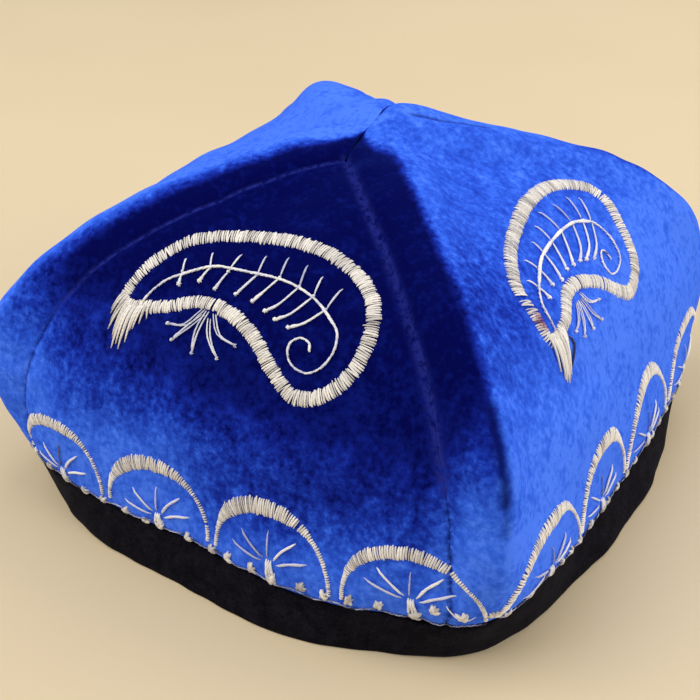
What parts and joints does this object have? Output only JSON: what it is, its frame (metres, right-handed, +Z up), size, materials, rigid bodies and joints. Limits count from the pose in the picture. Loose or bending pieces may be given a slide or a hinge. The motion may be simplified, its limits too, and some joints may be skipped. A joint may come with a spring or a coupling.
{
  "type": "four-cornered cap",
  "caption": "Four-cornered velvet cap with a soft square crown of sewn gores, a dark band round the rim, and raised almond and arch embroidery on each face.",
  "frame": {"origin": "on the floor, under the middle of the crown", "axes": "+Z up through the crown's top, -Y out of the front face, +X out of the right face, ridges on the diagonals"},
  "size_m": [0.1714, 0.177, 0.103],
  "materials": {
    "velvet": "royal blue cotton velvet with a short pile",
    "band": "black velvet binding",
    "silk": "cream silk floss in satin stitch"
  },
  "bodies": {
    "root": {"front_gore": "velvet", "right_gore": "velvet", "back_gore": "velvet", "left_gore": "velvet", "rim_band": "band", "front_almond": "silk", "front_arch_1": "silk", "front_arch_2": "silk", "front_arch_3": "silk", "front_arch_4": "silk", "right_almond": "silk", "right_arch_1": "silk", "right_arch_2": "silk", "right_arch_3": "silk", "right_arch_4": "silk", "back_almond": "silk", "back_arch_1": "silk", "back_arch_2": "silk", "back_arch_3": "silk", "back_arch_4": "silk", "left_almond": "silk", "left_arch_1": "silk", "left_arch_2": "silk", "left_arch_3": "silk", "left_arch_4": "silk"}
  },
  "joints": []
}
